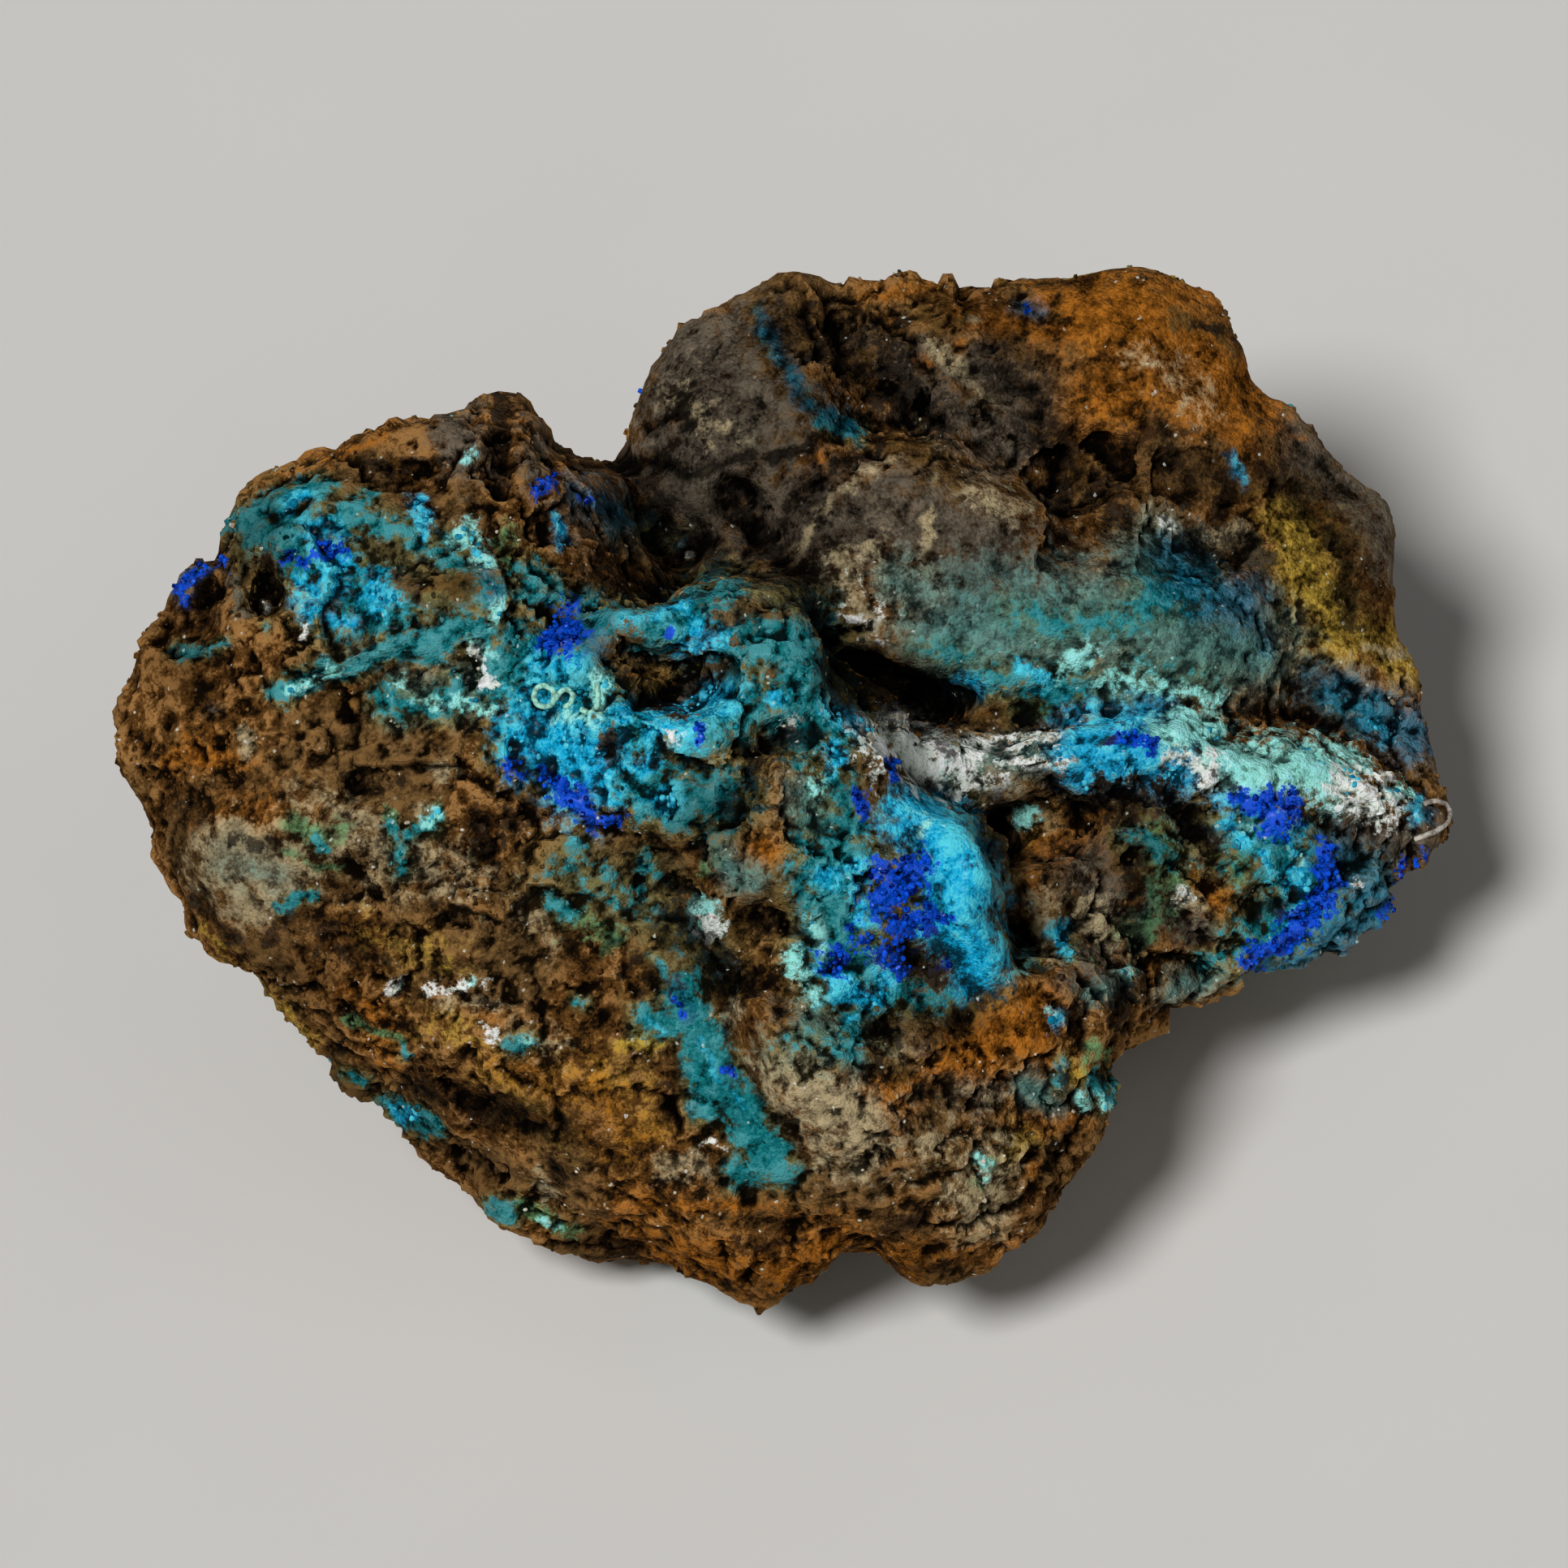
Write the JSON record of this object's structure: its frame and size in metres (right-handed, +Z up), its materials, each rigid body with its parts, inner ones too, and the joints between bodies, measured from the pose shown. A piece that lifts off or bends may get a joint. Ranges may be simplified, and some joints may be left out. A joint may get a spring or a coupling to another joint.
{
  "type": "mineral specimen",
  "caption": "Rugged hand-size lump of iron-stained rock with turquoise, green and deep blue copper mineral crusts and a pale vein, resting on a flat broken underside.",
  "frame": {"origin": "middle of the bounding box at the flat underside", "axes": "+X across the show face to its right, +Y away from the viewer, +Z up; the show face looks towards -Y and up"},
  "size_m": [0.0816, 0.0664, 0.0447],
  "materials": {
    "stone": "rough broken rock, with waxy blue-green crusts"
  },
  "bodies": {
    "root": {"specimen": "stone"}
  },
  "joints": []
}
